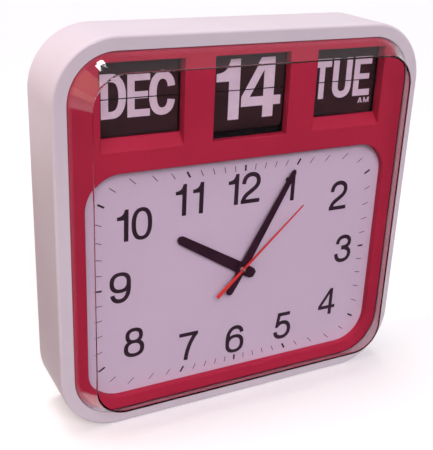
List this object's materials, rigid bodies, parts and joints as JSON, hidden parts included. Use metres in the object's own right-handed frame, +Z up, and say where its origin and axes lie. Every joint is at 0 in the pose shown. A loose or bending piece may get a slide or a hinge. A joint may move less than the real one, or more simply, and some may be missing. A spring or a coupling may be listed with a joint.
{
  "type": "flip clock",
  "caption": "Square quartz wall clock with a flip calendar of month, date and weekday leaves above a dial with hands, behind a raised clear lens in a white case.",
  "frame": {"origin": "middle of the flat bottom of the case, half way through the overall depth", "axes": "+Z up, the face looks along -Y, +X to the right as the face is read"},
  "size_m": [0.38, 0.094, 0.38],
  "materials": {
    "case_plastic": "moulded white plastic, satin gloss",
    "lens_acrylic": "clear moulded acrylic, polished",
    "mask_red": "moulded red plastic, satin",
    "dial_white": "matte white printed plate",
    "hand_black": "black painted sheet metal",
    "hand_red": "red painted sheet metal",
    "black_plastic": "black moulded plastic",
    "leaf_black": "thin black plastic sheet, printed",
    "steel": "plated steel",
    "gear_plastic": "natural acetal",
    "board_green": "printed circuit board",
    "coil_copper": "enamelled copper wire",
    "contact_brass": "sprung brass strip",
    "cell_jacket": "printed steel jacket"
  },
  "bodies": {
    "case": {"case_shell": "case_plastic", "rear_cover": "case_plastic", "rear_cover_screws": "steel", "clear_lens": "lens_acrylic", "front_mask": "mask_red", "mask_screws": "steel", "dial_plate": "dial_white", "dial_screws": "steel", "movement_housing": "black_plastic", "movement_cover": "black_plastic", "movement_screws": "steel", "circuit_board": "board_green", "drive_coil": "coil_copper", "stator": "steel", "battery_box": "black_plastic", "battery": "cell_jacket", "battery_contacts": "contact_brass", "calendar_frame": "black_plastic", "frame_screws": "steel", "drum_shaft": "steel", "month_leaf_finger": "steel", "date_leaf_finger": "steel", "day_leaf_finger": "steel"},
    "second_train": {"second_hand": "hand_red", "second_wheel": "gear_plastic"},
    "minute_train": {"minute_hand": "hand_black", "minute_wheel": "gear_plastic"},
    "hour_train": {"hour_hand": "hand_black", "hour_wheel": "gear_plastic"},
    "third_train": {"third_wheel": "gear_plastic"},
    "motion_train": {"motion_wheel": "gear_plastic"},
    "fifth_train": {"fifth_wheel": "gear_plastic"},
    "motor_rotor": {"rotor": "steel"},
    "calendar_cam": {"calendar_wheel": "gear_plastic"},
    "time_setter": {"set_knob": "gear_plastic"},
    "bay_door": {"battery_door": "case_plastic"},
    "trip": {"trip_slide": "steel"},
    "month_drum": {"month_drum_left": "black_plastic", "month_drum_right": "black_plastic", "month_leaf_pack": "leaf_black", "month_lower_leaf": "leaf_black"},
    "month_leaf": {"month_flip_leaf": "leaf_black"},
    "month_setter": {"month_set_wheel": "gear_plastic"},
    "date_drum": {"date_drum_left": "black_plastic", "date_drum_right": "black_plastic", "date_leaf_pack": "leaf_black", "date_lower_leaf": "leaf_black"},
    "date_leaf": {"date_flip_leaf": "leaf_black"},
    "date_setter": {"date_set_wheel": "gear_plastic"},
    "day_drum": {"day_drum_left": "black_plastic", "day_drum_right": "black_plastic", "day_leaf_pack": "leaf_black", "day_lower_leaf": "leaf_black"},
    "day_leaf": {"day_flip_leaf": "leaf_black"},
    "day_setter": {"day_set_wheel": "gear_plastic"}
  },
  "joints": [
    {"name": "second_hand_turn", "type": "hinge", "parent": "case", "child": "second_train", "pos_m": [0, -0.024, 0.1425], "axis": [0, 1, 0], "continuous": true},
    {"name": "minute_hand_turn", "type": "hinge", "parent": "case", "child": "minute_train", "pos_m": [0, -0.024, 0.1425], "axis": [0, 1, 0], "continuous": true},
    {"name": "hour_hand_turn", "type": "hinge", "parent": "case", "child": "hour_train", "pos_m": [0, -0.024, 0.1425], "axis": [0, 1, 0], "continuous": true},
    {"name": "third_wheel_turn", "type": "hinge", "parent": "case", "child": "third_train", "pos_m": [-0.017, -0.024, 0.1425], "axis": [0, 1, 0], "continuous": true},
    {"name": "motion_wheel_turn", "type": "hinge", "parent": "case", "child": "motion_train", "pos_m": [0.013, -0.024, 0.1425], "axis": [0, 1, 0], "continuous": true},
    {"name": "fifth_wheel_turn", "type": "hinge", "parent": "case", "child": "fifth_train", "pos_m": [0, -0.024, 0.1255], "axis": [0, 1, 0], "continuous": true},
    {"name": "rotor_turn", "type": "hinge", "parent": "case", "child": "motor_rotor", "pos_m": [0.0136, -0.024, 0.1255], "axis": [0, 1, 0], "continuous": true},
    {"name": "calendar_wheel_turn", "type": "hinge", "parent": "case", "child": "calendar_cam", "pos_m": [0, -0.024, 0.1633], "axis": [0, 1, 0], "continuous": true},
    {"name": "set_knob_turn", "type": "hinge", "parent": "case", "child": "time_setter", "pos_m": [0.013, -0.024, 0.15712], "axis": [0, 1, 0], "continuous": true},
    {"name": "month_drum_turn", "type": "hinge", "parent": "case", "child": "month_drum", "pos_m": [-0.108, -0.002, 0.3225], "axis": [1, 0, 0], "range_deg": [0, 30]},
    {"name": "month_leaf_fall", "type": "hinge", "parent": "month_drum", "child": "month_leaf", "pos_m": [-0.108, -0.0078, 0.32405], "axis": [1, 0, 0], "range_deg": [0, 150]},
    {"name": "month_set_turn", "type": "hinge", "parent": "case", "child": "month_setter", "pos_m": [-0.108, 0.02445, 0.3225], "axis": [1, 0, 0], "range_deg": [-30, 0]},
    {"name": "date_drum_turn", "type": "hinge", "parent": "case", "child": "date_drum", "pos_m": [0, -0.002, 0.3225], "axis": [1, 0, 0], "range_deg": [0, 11.61]},
    {"name": "date_leaf_fall", "type": "hinge", "parent": "date_drum", "child": "date_leaf", "pos_m": [0, -0.01095, 0.32341], "axis": [1, 0, 0], "range_deg": [0, 168.39]},
    {"name": "date_set_turn", "type": "hinge", "parent": "case", "child": "date_setter", "pos_m": [0, 0.02445, 0.3225], "axis": [1, 0, 0], "range_deg": [-11.61, 0]},
    {"name": "day_drum_turn", "type": "hinge", "parent": "case", "child": "day_drum", "pos_m": [0.108, -0.002, 0.3225], "axis": [1, 0, 0], "range_deg": [0, 25.71]},
    {"name": "day_leaf_fall", "type": "hinge", "parent": "day_drum", "child": "day_leaf", "pos_m": [0.108, -0.00785, 0.32384], "axis": [1, 0, 0], "range_deg": [0, 154.29]},
    {"name": "day_set_turn", "type": "hinge", "parent": "case", "child": "day_setter", "pos_m": [0.108, 0.02445, 0.3225], "axis": [1, 0, 0], "range_deg": [-25.72, 0]},
    {"name": "battery_door_slide", "type": "slide", "parent": "case", "child": "bay_door", "axis": [0, 0, -1], "range_m": [0, 0.045]},
    {"name": "trip_slide_lift", "type": "slide", "parent": "case", "child": "trip", "axis": [0, 0, 1], "range_m": [0, 0.004]}
  ],
  "couplings": [
    {"joint": "minute_hand_turn", "follows": "second_hand_turn", "ratio": 0.016667},
    {"joint": "hour_hand_turn", "follows": "second_hand_turn", "ratio": 0.0013889},
    {"joint": "third_wheel_turn", "follows": "second_hand_turn", "ratio": -0.125},
    {"joint": "motion_wheel_turn", "follows": "second_hand_turn", "ratio": -0.0055556},
    {"joint": "fifth_wheel_turn", "follows": "second_hand_turn", "ratio": -4},
    {"joint": "rotor_turn", "follows": "second_hand_turn", "ratio": 30},
    {"joint": "calendar_wheel_turn", "follows": "second_hand_turn", "ratio": -0.0013889},
    {"joint": "set_knob_turn", "follows": "second_hand_turn", "ratio": 0.011111},
    {"joint": "month_leaf_fall", "follows": "month_drum_turn", "ratio": 5},
    {"joint": "month_set_turn", "follows": "month_drum_turn", "ratio": -1},
    {"joint": "date_leaf_fall", "follows": "date_drum_turn", "ratio": 14.5},
    {"joint": "date_set_turn", "follows": "date_drum_turn", "ratio": -1},
    {"joint": "day_leaf_fall", "follows": "day_drum_turn", "ratio": 6},
    {"joint": "day_set_turn", "follows": "day_drum_turn", "ratio": -1}
  ]
}
